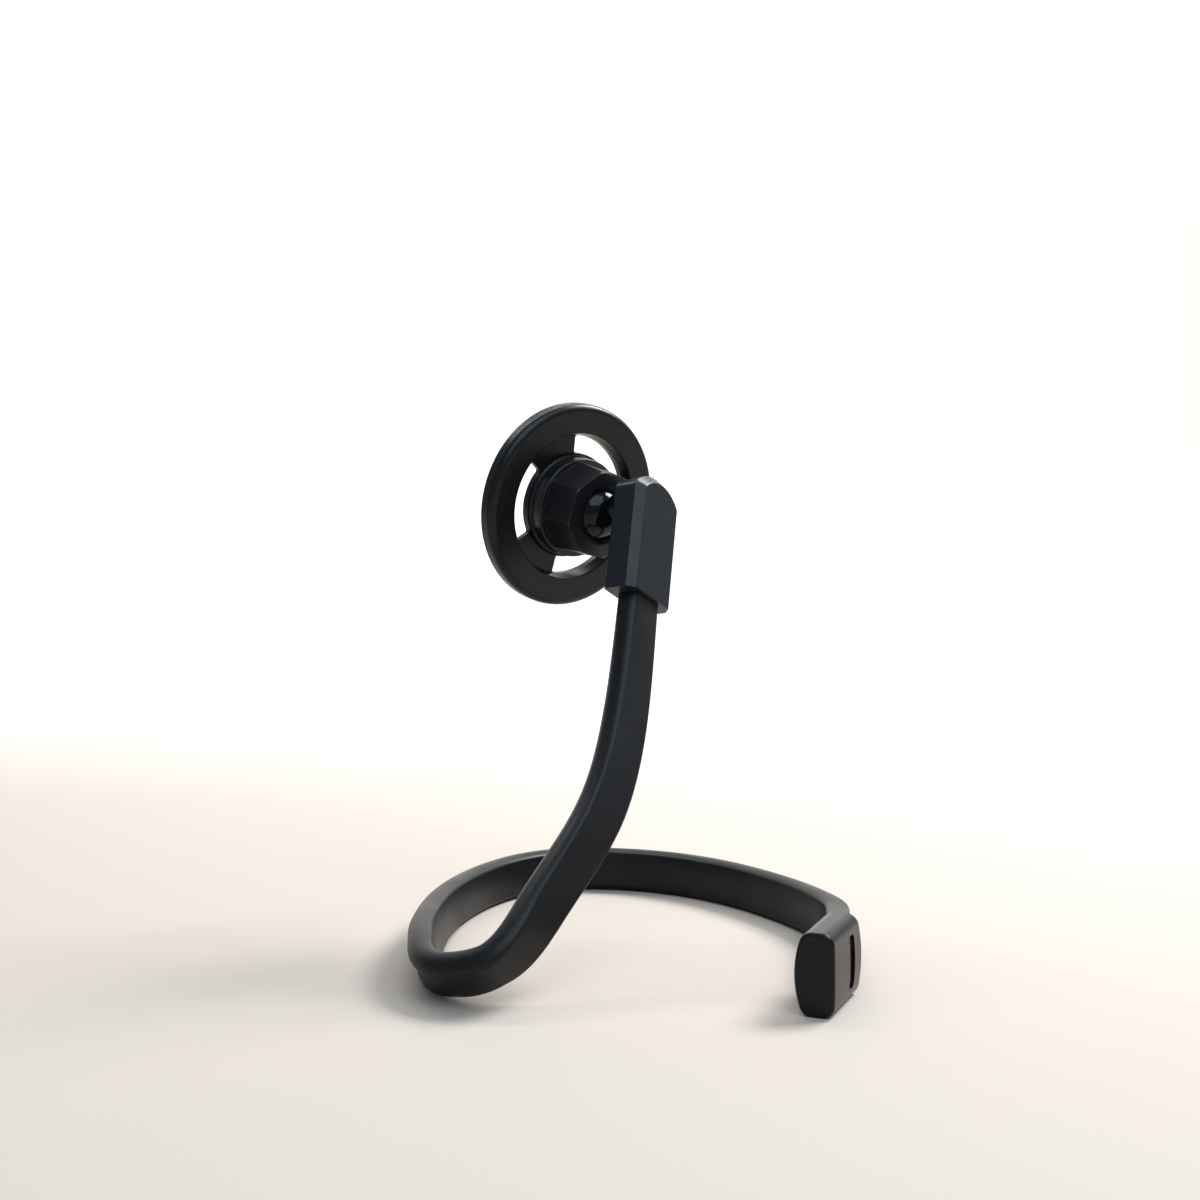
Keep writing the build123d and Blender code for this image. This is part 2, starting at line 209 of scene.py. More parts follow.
class SharedEffects:
    """Effects that several finishes use, each a node group made once."""

    pit_detail: float = 2.0
    wave_detail: float = 1.0
    patch_detail: float = 3.0
    patch_range: Range = (0.38, 0.66)
    # The edge settings shape the painted highlight along the edges
    edge_samples: int = 6
    edge_range: Range = (0.99, 0.86)
    edge_patch: float = 400.0
    edge_patch_range: Range = (0.25, 0.6)
    upward_range: Range = (0.2, 1.0)
    lint_detail: float = 4.0
    lint_range: Range = (0.45, 0.8)

    def __init__(self) -> None:
        """Builds the groups."""
        self.grain = self._mould_grain()
        self.handling = self._handling()
        self.edges = self._painted_edge_highlight()
        self.dust = self._settled_dust()

    @staticmethod
    def _group(
        name: str, inputs: dict[str, float], outputs: tuple[str, ...]
    ) -> tuple[bpy.types.ShaderNodeTree, bpy.types.Node, bpy.types.Node]:
        """Makes an empty group with named sockets.

        Args:
            name: Name of the group.
            inputs: Name and first value of each input.
            outputs: Name of each output.

        Returns:
            The group, its input node and its output node.
        """
        group = bpy.data.node_groups.new(name, "ShaderNodeTree")
        for label, value in inputs.items():
            socket = group.interface.new_socket(label, in_out="INPUT", socket_type="NodeSocketFloat")
            socket.default_value = value
        for label in outputs:
            group.interface.new_socket(label, in_out="OUTPUT", socket_type="NodeSocketFloat")
        return group, group.nodes.new("NodeGroupInput"), group.nodes.new("NodeGroupOutput")

    def _mould_grain(self) -> bpy.types.ShaderNodeTree:
        """Makes the fine pits of a spark-eroded mould, with slow waves of the moulding under them.

        Returns:
            A group that puts out a height.
        """
        group, start, end = self._group(
            "mould_grain", {"Grain": 3000.0, "Wave": 160.0, "Wave_Share": 0.25}, ("Height",)
        )
        sheet = NodeSheet(group)
        place = sheet.place()
        pits = sheet.noise(place, self.pit_detail, start.outputs["Grain"])
        waves = sheet.noise(place, self.wave_detail, start.outputs["Wave"])
        sheet.join(sheet.between(start.outputs["Wave_Share"], pits, waves), end.inputs["Height"])
        return group

    def _handling(self) -> bpy.types.ShaderNodeTree:
        """Makes soft patches that hands have rubbed smoother.

        Returns:
            A group that puts out a roughness and the mask it came from.
        """
        group, start, end = self._group(
            "handling", {"Patch": 60.0, "Rough": 0.5, "Rubbed": 0.4}, ("Roughness", "Mask")
        )
        sheet = NodeSheet(group)
        patches = sheet.noise(sheet.place(), self.patch_detail, start.outputs["Patch"])
        mask = sheet.spread(patches, *self.patch_range)
        roughness = sheet.between(mask, start.outputs["Rough"], start.outputs["Rubbed"])
        sheet.join(roughness, end.inputs["Roughness"])
        sheet.join(mask, end.inputs["Mask"])
        return group

    def _painted_edge_highlight(self) -> bpy.types.ShaderNodeTree:
        """Makes the painted highlight, a thin lighter line along each edge, broken into patches.

        Returns:
            A group that puts out a mask.
        """
        group, start, end = self._group("painted_edge_highlight", {"Reach": 0.0005, "Amount": 0.5}, ("Mask",))
        sheet = NodeSheet(group)
        softened = sheet.add("ShaderNodeBevel", samples=self.edge_samples)
        sheet.join(start.outputs["Reach"], softened.inputs["Radius"])
        likeness = sheet.add("ShaderNodeVectorMath", operation="DOT_PRODUCT")
        sheet.join(sheet.add("ShaderNodeNewGeometry").outputs["Normal"], likeness.inputs[0])
        sheet.join(softened.outputs["Normal"], likeness.inputs[1])
        bend = sheet.spread(likeness.outputs["Value"], *self.edge_range)
        patches = sheet.noise(sheet.place(), self.patch_detail, self.edge_patch)
        # Painted highlight share: the edge line, broken into patches
        highlight_share = sheet.times(bend, sheet.spread(patches, *self.edge_patch_range))
        sheet.join(sheet.times(highlight_share, start.outputs["Amount"]), end.inputs["Mask"])
        return group

    def _settled_dust(self) -> bpy.types.ShaderNodeTree:
        """Makes the thin dust and lint that lies on what faces up.

        Returns:
            A group that puts out a mask.
        """
        group, start, end = self._group("settled_dust", {"Amount": 0.2, "Lint": 900.0}, ("Mask",))
        sheet = NodeSheet(group)
        normal = sheet.add("ShaderNodeSeparateXYZ")
        sheet.join(sheet.add("ShaderNodeNewGeometry").outputs["Normal"], normal.inputs[0])
        upward = sheet.spread(normal.outputs["Z"], *self.upward_range)
        lint = sheet.noise(sheet.place(), self.lint_detail, start.outputs["Lint"])
        lying = sheet.times(upward, sheet.spread(lint, *self.lint_range))
        sheet.join(sheet.times(lying, start.outputs["Amount"]), end.inputs["Mask"])
        return group


@dataclass(frozen=True)
class MouldedFinish:
    """Moulded plastic or rubber with grain, rubbed places, a painted highlight along the edges, and a little dust.
    """

    name: str
    colour: Colour
    rubbed_colour: Colour
    rough: float
    rubbed: float
    grain: float
    grain_depth: float
    reflectance: float
    edge_highlight_colour: Colour
    edge_reach: float = 0.5 * MILLIMETRE
    edge_highlight_amount: float = 0.4
    wave: float = 160.0
    wave_share: float = 0.25
    patch: float = 60.0
    dust: float = 0.04
    dust_colour: Colour = (0.2, 0.195, 0.185)
    coat: float = 0.0
    coat_roughness: float = 0.2

    def material(self, effects: SharedEffects) -> bpy.types.Material:
        """Builds the material.

        Args:
            effects: The shared node groups.

        Returns:
            A procedural material.
        """
        made = bpy.data.materials.new(self.name)
        made.use_nodes = True
        sheet = NodeSheet(made.node_tree)
        shader = made.node_tree.nodes["Principled BSDF"]
        shader.inputs["Specular IOR Level"].default_value = self.reflectance
        shader.inputs["Coat Weight"].default_value = self.coat
        shader.inputs["Coat Roughness"].default_value = self.coat_roughness

        handling = sheet.effect(effects.handling, Patch=self.patch, Rough=self.rough, Rubbed=self.rubbed)
        sheet.join(handling.outputs["Roughness"], shader.inputs["Roughness"])

        # Painted highlight: the base colour turns lighter in a thin line along the edges
        edges = sheet.effect(effects.edges, Reach=self.edge_reach, Amount=self.edge_highlight_amount)
        dust = sheet.effect(effects.dust, Amount=self.dust)
        body = sheet.tint(handling.outputs["Mask"], self.colour, self.rubbed_colour)
        highlighted = sheet.tint(edges.outputs["Mask"], body, self.edge_highlight_colour)
        dusted = sheet.tint(dust.outputs["Mask"], highlighted, self.dust_colour)
        sheet.join(dusted, shader.inputs["Base Color"])

        grain = sheet.effect(effects.grain, Grain=self.grain, Wave=self.wave, Wave_Share=self.wave_share)
        bump = sheet.add("ShaderNodeBump")
        bump.inputs["Distance"].default_value = self.grain_depth
        sheet.join(grain.outputs["Height"], bump.inputs["Height"])
        sheet.join(bump.outputs["Normal"], shader.inputs["Normal"])
        return made


class MetalKind(Enum):
    """Metals inside the holder, each with its colour."""

    STEEL = (0.50, 0.50, 0.51)
    ZINC = (0.62, 0.63, 0.65)
    BRASS = (0.75, 0.58, 0.27)
    NICKEL = (0.66, 0.62, 0.56)


@dataclass(frozen=True)
class MetalFinish:
    """Bare or plated metal with fine tool marks."""

    name: str
    kind: MetalKind
    rough: float
    rubbed: float
    marks: float
    mark_depth: float
    tarnish: float = 0.8

    def material(self, effects: SharedEffects) -> bpy.types.Material:
        """Builds the material.

        Args:
            effects: The shared node groups.

        Returns:
            A procedural material.
        """
        made = bpy.data.materials.new(self.name)
        made.use_nodes = True
        sheet = NodeSheet(made.node_tree)
        shader = made.node_tree.nodes["Principled BSDF"]
        shader.inputs["Metallic"].default_value = 1.0
        handling = sheet.effect(effects.handling, Patch=self.marks, Rough=self.rough, Rubbed=self.rubbed)
        sheet.join(handling.outputs["Roughness"], shader.inputs["Roughness"])
        bright = self.kind.value
        dull = tuple(self.tarnish * share for share in bright)
        sheet.join(sheet.tint(handling.outputs["Mask"], bright, dull), shader.inputs["Base Color"])
        grain = sheet.effect(effects.grain, Grain=self.marks)
        bump = sheet.add("ShaderNodeBump")
        bump.inputs["Distance"].default_value = self.mark_depth
        sheet.join(grain.outputs["Height"], bump.inputs["Height"])
        sheet.join(bump.outputs["Normal"], shader.inputs["Normal"])
        return made


class Finishes:
    """Every finish of the holder, built once."""

    def __init__(self, effects: SharedEffects) -> None:
        """Builds the materials."""
        self.effects = effects
        self._mouldings()
        self._metals()

    def _mouldings(self) -> None:
        """Builds the plastics and rubbers."""
        # Each edge colour is a painted highlight, lighter than the body colour, laid along the edges
        self.skin = MouldedFinish(
            "satin_silicone_skin",
            colour=(0.0040, 0.0042, 0.0047),
            rubbed_colour=(0.0055, 0.0057, 0.0062),
            edge_highlight_colour=(0.010, 0.010, 0.011),
            rough=0.43,
            rubbed=0.36,
            grain=2600.0,
            grain_depth=0.02 * MILLIMETRE,
            reflectance=0.25,
            dust=0.05,
        ).material(self.effects)
        self.cap = MouldedFinish(
            "satin_cap_moulding",
            colour=(0.0090, 0.0110, 0.0140),
            rubbed_colour=(0.0110, 0.0130, 0.0160),
            edge_highlight_colour=(0.020, 0.022, 0.025),
            rough=0.34,
            rubbed=0.27,
            grain=3400.0,
            grain_depth=0.012 * MILLIMETRE,
            reflectance=0.27,
            dust=0.03,
        ).material(self.effects)
        self.foot = MouldedFinish(
            "satin_foot_moulding",
            colour=(0.0042, 0.0045, 0.0052),
            rubbed_colour=(0.0055, 0.0058, 0.0066),
            edge_highlight_colour=(0.016, 0.017, 0.019),
            rough=0.31,
            rubbed=0.25,
            grain=3200.0,
            grain_depth=0.014 * MILLIMETRE,
            reflectance=0.2,
            dust=0.04,
        ).material(self.effects)
        self.ring = MouldedFinish(
            "sparked_ring_moulding",
            colour=(0.0042, 0.0042, 0.0046),
            rubbed_colour=(0.0055, 0.0055, 0.0060),
            edge_highlight_colour=(0.012, 0.012, 0.013),
            rough=0.34,
            rubbed=0.28,
            grain=2200.0,
            grain_depth=0.035 * MILLIMETRE,
            reflectance=0.26,
        ).material(self.effects)
        self.nut = MouldedFinish(
            "satin_nut_moulding",
            colour=(0.0070, 0.0070, 0.0088),
            rubbed_colour=(0.0088, 0.0088, 0.0106),
            edge_highlight_colour=(0.055, 0.055, 0.064),
            edge_reach=0.6 * MILLIMETRE,
            edge_highlight_amount=0.7,
            rough=0.36,
            rubbed=0.28,
            grain=3000.0,
            grain_depth=0.02 * MILLIMETRE,
            reflectance=0.36,
            dust=0.03,
        ).material(self.effects)
        self.ball = MouldedFinish(
            "polished_ball",
            colour=(0.0030, 0.0030, 0.0033),
            rubbed_colour=(0.0045, 0.0045, 0.0048),
            edge_highlight_colour=(0.008, 0.008, 0.009),
            rough=0.10,
            rubbed=0.06,
            grain=1200.0,
            grain_depth=0.001 * MILLIMETRE,
            reflectance=0.2,
            dust=0.01,
            coat=0.06,
            coat_roughness=0.03,
        ).material(self.effects)
        self.pad = MouldedFinish(
            "soft_pad_rubber",
            colour=(0.0110, 0.0110, 0.0115),
            rubbed_colour=(0.0140, 0.0140, 0.0145),
            edge_highlight_colour=(0.020, 0.020, 0.021),
            rough=0.72,
            rubbed=0.62,
            grain=1800.0,
            grain_depth=0.06 * MILLIMETRE,
            reflectance=0.35,
        ).material(self.effects)
        self.seat = MouldedFinish(
            "plain_white_seat",
            colour=(0.62, 0.61, 0.57),
            rubbed_colour=(0.66, 0.65, 0.61),
            edge_highlight_colour=(0.70, 0.69, 0.66),
            rough=0.45,
            rubbed=0.35,
            grain=2800.0,
            grain_depth=0.03 * MILLIMETRE,
            reflectance=0.5,
            dust=0.02,
        ).material(self.effects)

    def _metals(self) -> None:
        """Builds the metals."""
        self.wire = MetalFinish(
            "drawn_wire",
            MetalKind.STEEL,
            rough=0.42,
            rubbed=0.3,
            marks=1500.0,
            mark_depth=0.01 * MILLIMETRE,
        ).material(self.effects)
        self.plate = MetalFinish(
            "zinc_plate",
            MetalKind.ZINC,
            rough=0.38,
            rubbed=0.28,
            marks=900.0,
            mark_depth=0.01 * MILLIMETRE,
        ).material(self.effects)
        self.insert = MetalFinish(
            "turned_brass",
            MetalKind.BRASS,
            rough=0.3,
            rubbed=0.2,
            marks=2000.0,
            mark_depth=0.02 * MILLIMETRE,
        ).material(self.effects)
        self.magnet = MetalFinish(
            "nickel_plating",
            MetalKind.NICKEL,
            rough=0.25,
            rubbed=0.16,
            marks=700.0,
            mark_depth=0.005 * MILLIMETRE,
        ).material(self.effects)


def paint(thing: bpy.types.Object, material: bpy.types.Material) -> None:
    """Gives an object one material in place of its own.

    Args:
        thing: Mesh object.
        material: Its new material.
    """
    thing.data.materials.clear()
    thing.data.materials.append(material)
    log.info("%s: %d faces, %s", thing.name, len(thing.data.polygons), material.name)


def paint_node(node: str, material: bpy.types.Material) -> None:
    """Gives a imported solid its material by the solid's name."""
    paint(frame["nodes"][node], material)


def shown_mesh(name: str, shape: bmesh.types.BMesh) -> bpy.types.Object:
    """Turns a finished shape into a smooth-shaded object in the scene.

    Args:
        name: Name of the piece.
        shape: The shape, which is freed.

    Returns:
        The new object.
    """
    bmesh.ops.recalc_face_normals(shape, faces=shape.faces[:])
    for face in shape.faces:
        face.smooth = True
    mesh = bpy.data.meshes.new(name)
    shape.to_mesh(mesh)
    shape.free()
    thing = bpy.data.objects.new(name, mesh)
    bpy.context.scene.collection.objects.link(thing)
    return thing


def bridge_rings(shape: bmesh.types.BMesh, rings: list[list[bmesh.types.BMVert]], closed: bool) -> None:
    """Fills quads between rings of the same count.

    Args:
        shape: Shape that holds the rings.
        rings: Rings in order.
        closed: True joins the last ring to the first.
    """
    followers = rings[1:] + rings[:1] if closed else rings[1:]
    for ring, follower in zip(rings, followers):
        for index, vertex in enumerate(ring):
            beside = (index + 1) % len(ring)
            shape.faces.new((vertex, ring[beside], follower[beside], follower[index]))


@dataclass(frozen=True)
class RouteRow:
    """One place on the arm's route, and where the strip's upper edge points there."""

    across: float
    along: float
    height: float
    edge: Point


@dataclass
class BendableArm:
    """The bendable strip, from the foot round the loop and up to the stem's cap."""

    finishes: Finishes
    strip_width: float = 13.5 * MILLIMETRE
    strip_thickness: float = 6.5 * MILLIMETRE
    strip_crown: float = 1.3 * MILLIMETRE
    strip_corner: float = 1.2 * MILLIMETRE
    loop_half_width: float = 55.5 * MILLIMETRE
    loop_half_depth: float = 67.5 * MILLIMETRE
    stem_rise: float = 89.2 * MILLIMETRE
    foot_height: float = 19.7 * MILLIMETRE
    twist_lift: float = 0.35 * MILLIMETRE
    foot_heading: float = 23.2
    stem_lean_back: float = 21.9
    stem_lean_side: float = 6.2
    length_in_foot: float = 14.0 * MILLIMETRE
    length_in_cap: float = 20.0 * MILLIMETRE
    ring_spacing: float = 1.2 * MILLIMETRE
    steps_a_run: int = 40
    crown_steps: int = 5
    corner_steps: int = 5

    def route(self) -> list[RouteRow]:
        """Lays out the arm's route.

        Returns:
            Rows from the foot to the upper cap, with shares of the loop's half width and depth.
        """
        base = self.strip_width / 2
        foot_lift = self.foot_height / 2 - base
        twist = base + self.twist_lift
        rise = self.stem_rise
        upright = (0.0, 0.0, 1.0)
        return [
            RouteRow(0.926, -0.739, base + foot_lift, upright),
            RouteRow(0.965, -0.60, base + 0.75 * foot_lift, upright),
            RouteRow(0.99, -0.31, base + 0.25 * foot_lift, upright),
            RouteRow(1.012, -0.15, base + 0.14 * foot_lift, upright),
            RouteRow(0.987, 0.00, base + 0.07 * foot_lift, upright),
            RouteRow(0.78, 0.42, base, upright),
            RouteRow(0.22, 0.92, base, upright),
            RouteRow(-0.40, 0.99, base, upright),
            RouteRow(-0.84, 0.53, base, upright),
            RouteRow(-0.98, -0.26, twist, (-0.16, 0.0, 0.99)),
            RouteRow(-0.94, -0.63, twist, (-0.28, -0.08, 0.96)),
            RouteRow(-0.80, -0.88, twist, (-0.59, -0.51, 0.62)),
            RouteRow(-0.60, -0.94, base + 0.045 * rise, (-0.29, -0.75, 0.60)),
            RouteRow(-0.41, -0.82, base + 0.17 * rise, (-0.50, -0.47, 0.73)),
            RouteRow(-0.15, -0.53, base + 0.40 * rise, (-0.68, -0.37, 0.63)),
            RouteRow(-0.04, -0.31, base + 0.62 * rise, (-0.68, -0.55, 0.48)),
            RouteRow(0.04, -0.04, base + rise, (-0.54, -0.76, 0.36)),
        ]

    def _end_directions(self) -> tuple[np.ndarray, np.ndarray]:
        """Works out how the route leaves the foot and enters the upper cap.

        Returns:
            The two directions.
        """
        heading = math.radians(self.foot_heading)
        back = math.radians(self.stem_lean_back)
        side = math.radians(self.stem_lean_side)
        leaving = np.array([math.sin(heading), math.cos(heading), 0.0])
        entering = np.array(
            [math.cos(back) * math.sin(side), math.sin(back), math.cos(back) * math.cos(side)]
        )
        return leaving, entering

    def _slopes(self, places: np.ndarray, runs: np.ndarray) -> np.ndarray:
        """Solves the smooth curve through the route for its direction at each row.

        Args:
            places: Points of the route.
            runs: Distances between neighbours.

        Returns:
            One slope for each point.
        """
        count = len(places)
        matrix = np.zeros((count, count))
        wanted = np.zeros((count, 3))
        matrix[0, 0] = matrix[-1, -1] = 1.0
        wanted[0], wanted[-1] = self._end_directions()
        for index in range(1, count - 1):
            before, after = runs[index - 1], runs[index]
            matrix[index, index - 1] = 1.0 / before
            matrix[index, index] = 2.0 / before + 2.0 / after
            matrix[index, index + 1] = 1.0 / after
            fall = (places[index] - places[index - 1]) / before**2
            climb = (places[index + 1] - places[index]) / after**2
            wanted[index] = 3.0 * (fall + climb)
        return np.linalg.solve(matrix, wanted)

    def _curve(self, places: np.ndarray, runs: np.ndarray) -> np.ndarray:
        """Samples the smooth curve through the route closely.

        Args:
            places: Points of the route.
            runs: Distances between neighbours.

        Returns:
            The points of the curve in order.
        """
        slopes = self._slopes(places, runs)
        share = np.linspace(0.0, 1.0, self.steps_a_run, endpoint=False)[:, None]
        rest = 1.0 - share
        pieces = []
        for index, run in enumerate(runs):
            first, second = places[index], places[index + 1]
            turn = (slopes[index] * rest - slopes[index + 1] * share) * run
            bow = (second - first) * (share - rest)
            pieces.append(first * rest + second * share + share * rest * (turn + bow))
        return np.vstack((*pieces, places[-1:]))

    @staticmethod
    def _read_along(stops: np.ndarray, known: np.ndarray, values: np.ndarray) -> np.ndarray:
        """Reads rows of three values between known places.

        Args:
            stops: Places to read at.
            known: Places of the known rows.
            values: The known rows.

        Returns:
            One row for each stop.
        """
        return np.stack([np.interp(stops, known, column) for column in values.T], axis=1)

    @staticmethod
    def _squared(centre: Vector, edge: Vector, direction: Vector) -> Section:
        """Squares a section to the arm.

        Args:
            centre: Middle of the section.
            edge: Where the strip's upper edge points, roughly.
            direction: Way of the arm there.

        Returns:
            The centre, the direction of the strip's width and that of its thickness.
        """
        along = direction.normalized()
        width = (edge - along * edge.dot(along)).normalized()
        return centre, width, along.cross(width)

    def sections(self) -> list[Section]:
        """Walks the arm from inside the foot to inside the upper cap.

        Returns:
            For each ring its centre, the direction of the strip's width and that of its thickness.
        """
        rows = self.route()
        scale = np.array([self.loop_half_width, self.loop_half_depth, 1.0])
        places = np.array([(row.across, row.along, row.height) for row in rows]) * scale
        edges = np.array([row.edge for row in rows])
        runs = np.linalg.norm(np.diff(places, axis=0), axis=1)
        row_shares = np.concatenate(([0.0], np.cumsum(runs) / runs.sum()))
        curve = self._curve(places, runs)
        steps = np.linalg.norm(np.diff(curve, axis=0), axis=1)
        walked = np.concatenate(([0.0], np.cumsum(steps)))
        stops = np.linspace(0.0, walked[-1], round(walked[-1] / self.ring_spacing))
        centres = self._read_along(stops, walked, curve)
        widths = self._read_along(stops / walked[-1], row_shares, edges)
        leaving, entering = self._end_directions()
        directions = np.gradient(centres, axis=0)
        directions[0], directions[-1] = leaving, entering
        rings = [self._squared(*map(Vector, triple)) for triple in zip(centres, widths, directions)]
        first, last = rings[0], rings[-1]
        in_foot = first[0] - Vector(leaving) * self.length_in_foot
        in_cap = last[0] + Vector(entering) * self.length_in_cap
        return [(in_foot, *first[1:]), *rings, (in_cap, *last[1:])]

    def outline(self) -> list[tuple[float, float]]:
        """Draws the strip's section, flat on both faces and crowned along both edges.

        Returns:
            Points across the width and through the thickness, in order.
        """
        half = self.strip_thickness / 2
        corner = self.strip_corner
        radius = (half**2 + self.strip_crown**2) / (2 * self.strip_crown)
        middle = self.strip_width / 2 - radius
        rise = half - corner
        reach = math.sqrt((radius - corner) ** 2 - rise**2)
        crown_end = math.atan2(rise, reach)
        quarter = []
        for step in range(self.crown_steps):
            turn = crown_end * step / self.crown_steps
            quarter.append((middle + radius * math.cos(turn), radius * math.sin(turn)))
        for step in range(self.corner_steps + 1):
            turn = crown_end + (QUARTER_TURN - crown_end) * step / self.corner_steps
            quarter.append((middle + reach + corner * math.cos(turn), rise + corner * math.sin(turn)))
        upper = quarter + [(-across, out) for across, out in reversed(quarter)]
        return upper + [(across, -out) for across, out in reversed(upper[1:-1])]

    def build(self) -> bpy.types.Object:
        """Makes the sleeve of the arm, which stands for its plain solid.

        Returns:
            The sleeve.
        """
        shape = bmesh.new()
        outline = self.outline()
        rings = []
        for centre, width, thickness in self.sections():
            spots = [centre + width * across + thickness * out for across, out in outline]
            rings.append([shape.verts.new(spot) for spot in spots])
        bridge_rings(shape, rings, closed=False)
        shape.faces.new(rings[0])
        shape.faces.new(rings[-1])
        sleeve = shown_mesh("arm_sleeve", shape)
        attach(sleeve, "arm")
        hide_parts("arm_skin")
        return sleeve

    def dress(self) -> None:
        """Builds the sleeve and paints it and the wires inside."""
        paint(self.build(), self.finishes.skin)
        paint_node("core_wire_inner", self.finishes.wire)
        paint_node("core_wire_outer", self.finishes.wire)


@dataclass
class EndCaps:
    """The moulded caps on the two ends of the arm, and the insert for the stud."""

    finishes: Finishes

    def dress(self) -> None:
        """Paints the caps and the insert."""
        paint_node("upper_cap", self.finishes.cap)
        paint_node("foot_cap", self.finishes.foot)
        paint_node("stud_insert", self.finishes.insert)


@dataclass
class BallJoint:
    """The ball stud, its seat and the lock nut."""

    finishes: Finishes

    def dress(self) -> None:
        """Paints the joint's pieces."""
        paint_node("ball_stud", self.finishes.ball)
        paint_node("ball_seat", self.finishes.seat)
        paint_node("lock_nut", self.finishes.nut)


@dataclass
class RingHead:
    """The ring with its magnets, and the soft pad on its face."""

    finishes: Finishes
    pad_inner_radius: float = 21.9 * MILLIMETRE
    pad_outer_radius: float = 29.7 * MILLIMETRE
    pad_thickness: float = 0.8 * MILLIMETRE
    pad_edge_round: float = 0.3 * MILLIMETRE
    pad_groove_inset: float = 1.4 * MILLIMETRE
    pad_groove_width: float = 0.5 * MILLIMETRE
    pad_groove_depth: float = 0.25 * MILLIMETRE
    pad_steps: int = 144
    round_steps: int = 4
    magnet_count: int = 16

    def pad_profile(self) -> list[tuple[float, float]]:
        """Draws half of the pad's section, from its bore round the face to its rim and back.

        Returns:
            Radius and depth behind the face of each point, in order round the section.
        """
        inner, outer, deep = self.pad_inner_radius, self.pad_outer_radius, self.pad_thickness
        edge = self.pad_edge_round
        half = self.pad_groove_width / 2
        groove = self.pad_groove_depth
        turns = [step * QUARTER_TURN / self.round_steps for step in range(self.round_steps + 1)]
        points = [(inner, deep)]
        points += [(inner + edge * (1 - math.cos(turn)), edge * (1 - math.sin(turn))) for turn in turns]
        for middle in (inner + self.pad_groove_inset, outer - self.pad_groove_inset):
            points += [(middle - half, 0.0), (middle - half / 2, groove)]
            points += [(middle + half / 2, groove), (middle + half, 0.0)]
        points += [(outer - edge * (1 - math.sin(turn)), edge * (1 - math.cos(turn))) for turn in turns]
        points.append((outer, deep))
        return points

    def build_pad(self) -> bpy.types.Object:
        """Makes the soft pad, which stands for its plain solid.

        Returns:
            The pad.
        """
        mount = next(item for item in frame["record"]["mounts"] if item["name"] == "pad_face")
        spin = next(item for item in frame["joints"] if item["name"] == "ball_spin")
        facing = Vector(mount["axis"]).normalized()
        pivot = Vector(spin["pos_m"])
        face_centre = pivot + facing * (Vector(mount["pos_m"]) - pivot).dot(facing)
        sideways = facing.orthogonal().normalized()
        upward = facing.cross(sideways)
        profile = self.pad_profile()
        shape = bmesh.new()
        rings = []
        for step in range(self.pad_steps):
            turn = step * math.tau / self.pad_steps
            out = sideways * math.cos(turn) + upward * math.sin(turn)
            spots = [face_centre + out * radius - facing * depth for radius, depth in profile]
            rings.append([shape.verts.new(spot) for spot in spots])
        bridge_rings(shape, rings, closed=True)
        pad = shown_mesh("ring_pad", shape)
        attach(pad, "head")
        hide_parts("face_pad")
        return pad

    def dress(self) -> None:
        """Builds the pad and paints the ring's pieces."""
        paint(self.build_pad(), self.finishes.pad)
        paint_node("rear_housing", self.finishes.ring)
        paint_node("face_ring", self.finishes.ring)
        paint_node("back_plate", self.finishes.plate)
        for number in range(1, self.magnet_count + 1):
            paint_node(f"magnet_{number:02d}", self.finishes.magnet)


@dataclass(frozen=True)
class SoftLight:
    """One large soft light of the studio."""

    name: str
    place: Point
    aim: Point
    width: float
    height: float
    power: float
    colour: Colour

    def build(self) -> None:
        """Hangs the light and turns it to its aim."""
        data = bpy.data.lights.new(self.name, "AREA")
        data.shape = "RECTANGLE"
        data.size = self.width
        data.size_y = self.height
        data.energy = self.power
        data.color = self.colour
        light = bpy.data.objects.new(self.name, data)
        light.location = self.place
        light.rotation_mode = "QUATERNION"
        light.rotation_quaternion = (Vector(self.aim) - Vector(self.place)).to_track_quat("-Z", "Y")
        bpy.context.scene.collection.objects.link(light)
        log.info("%s: %.1f W", self.name, self.power)


STUDIO_LIGHTS = (
    SoftLight(
        "overhead_light",
        place=(0.75, 0.4, 1.0),
        aim=(0.0, 0.0, 0.08),
        width=0.6,
        height=0.5,
        power=22.0,
        colour=(0.90, 0.95, 1.0),
    ),
    SoftLight(
        "front_light",
        place=(0.18, -0.75, 0.95),
        aim=(0.0, 0.0, 0.1),
        width=1.1,
        height=0.9,
        power=8.0,
        colour=(0.72, 0.87, 1.0),
    ),
    SoftLight(
        "backdrop_light",
        place=(0.0, 0.7, 1.6),
        aim=(0.0, 2.0, 0.5),
        width=2.4,
        height=0.6,
        power=55.0,
        colour=(0.96, 0.99, 1.0),
    ),
)


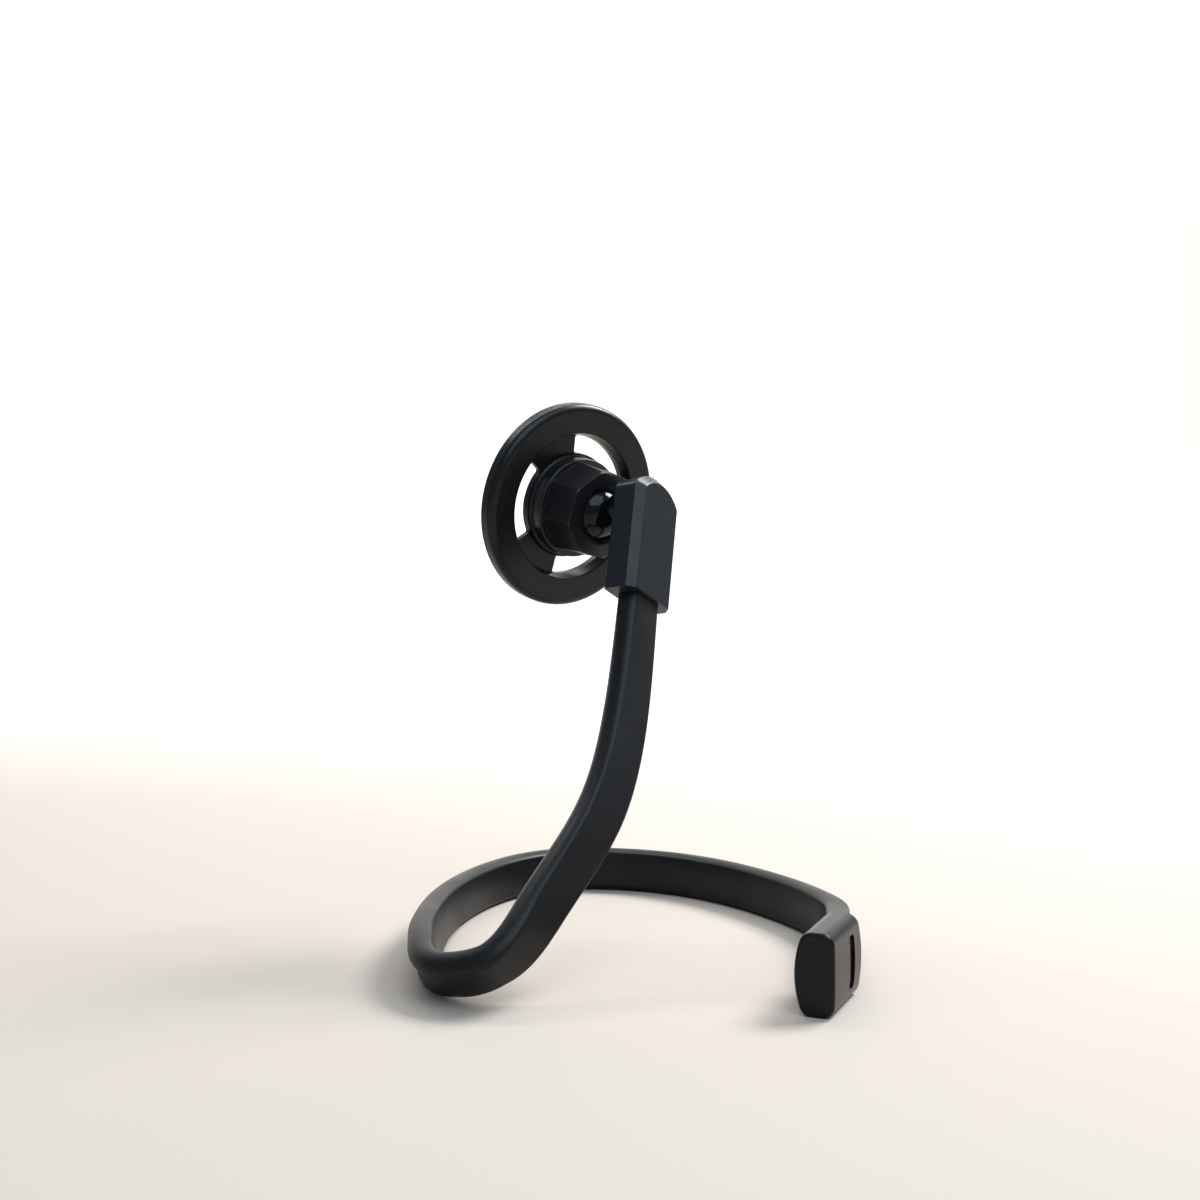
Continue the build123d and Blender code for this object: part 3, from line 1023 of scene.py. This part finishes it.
@dataclass
class Studio:
    """Pale sweep, soft lights and the camera."""

    lights: tuple[SoftLight, ...] = STUDIO_LIGHTS
    eye: Point = (-8.5 * MILLIMETRE, -393.3 * MILLIMETRE, 100.0 * MILLIMETRE)
    pitch_down: float = 0.573
    lens: float = 42.0
    sensor: float = 36.0
    nearest: float = 10.0 * MILLIMETRE
    sweep_half_width: float = 2.5
    sweep_front: float = -1.6
    sweep_back: float = 1.3
    sweep_radius: float = 0.7
    sweep_top: float = 2.6
    sweep_steps: int = 24
    floor_colour: Colour = (0.52, 0.445, 0.38)
    floor_shade: Colour = (0.50, 0.428, 0.366)
    backdrop_colour: Colour = (0.70, 0.655, 0.61)
    floor_end: float = 0.25
    backdrop_start: float = 1.1
    floor_roughness: float = 0.85
    cloud_detail: float = 2.0
    cloud_scale: float = 3.0
    sky_colour: Colour = (0.70, 0.84, 1.0)
    sky_strength: float = 0.33

    def floor_material(self) -> bpy.types.Material:
        """Makes the sweep's finish, matt card with faint clouds that turns paler behind.

        Returns:
            A procedural material.
        """
        made = bpy.data.materials.new("pale_sweep")
        made.use_nodes = True
        sheet = NodeSheet(made.node_tree)
        shader = made.node_tree.nodes["Principled BSDF"]
        shader.inputs["Roughness"].default_value = self.floor_roughness
        place = sheet.place()
        cloud = sheet.noise(place, self.cloud_detail, self.cloud_scale)
        floor = sheet.tint(cloud, self.floor_colour, self.floor_shade)
        depth = sheet.add("ShaderNodeSeparateXYZ")
        sheet.join(place, depth.inputs[0])
        behind = sheet.spread(depth.outputs["Y"], self.floor_end, self.backdrop_start)
        sheet.join(sheet.tint(behind, floor, self.backdrop_colour), shader.inputs["Base Color"])
        return made

    def build_sweep(self) -> None:
        """Makes the floor that curves up into the backdrop."""
        profile = [(self.sweep_front, 0.0)]
        for step in range(self.sweep_steps + 1):
            turn = step * QUARTER_TURN / self.sweep_steps
            along = self.sweep_back + self.sweep_radius * math.sin(turn)
            profile.append((along, self.sweep_radius * (1 - math.cos(turn))))
        profile.append((self.sweep_back + self.sweep_radius, self.sweep_top))
        shape = bmesh.new()
        left = [shape.verts.new((-self.sweep_half_width, along, height)) for along, height in profile]
        right = [shape.verts.new((self.sweep_half_width, along, height)) for along, height in profile]
        for index in range(len(profile) - 1):
            shape.faces.new((left[index], right[index], right[index + 1], left[index + 1]))
        sweep = shown_mesh("studio_sweep", shape)
        paint(sweep, self.floor_material())

    def build_sky(self) -> None:
        """Sets the even fill light from all sides."""
        world = bpy.data.worlds.new("studio_fill")
        world.use_nodes = True
        fill = world.node_tree.nodes["Background"]
        fill.inputs["Color"].default_value = (*self.sky_colour, 1.0)
        fill.inputs["Strength"].default_value = self.sky_strength
        bpy.context.scene.world = world

    def build_camera(self) -> None:
        """Sets up the camera of the main view."""
        data = bpy.data.cameras.new("main_camera")
        data.lens = self.lens
        data.sensor_width = self.sensor
        data.clip_start = self.nearest
        camera = bpy.data.objects.new("main_camera", data)
        camera.location = self.eye
        camera.rotation_euler = (QUARTER_TURN - math.radians(self.pitch_down), 0.0, 0.0)
        bpy.context.scene.collection.objects.link(camera)
        bpy.context.scene.camera = camera

    def build(self) -> None:
        """Sets up the whole studio."""
        bpy.context.scene.view_settings.view_transform = "Standard"
        self.build_sweep()
        self.build_sky()
        for light in self.lights:
            light.build()
        self.build_camera()


def main() -> None:
    """Builds and dresses the holder, then sets up the studio."""
    logging.basicConfig(level=logging.INFO, format="%(name)s %(message)s")
    finishes = Finishes(SharedEffects())
    for assembly in (BendableArm(finishes), EndCaps(finishes), BallJoint(finishes), RingHead(finishes)):
        assembly.dress()
    Studio().build()


if __name__ == "__main__":
    main()
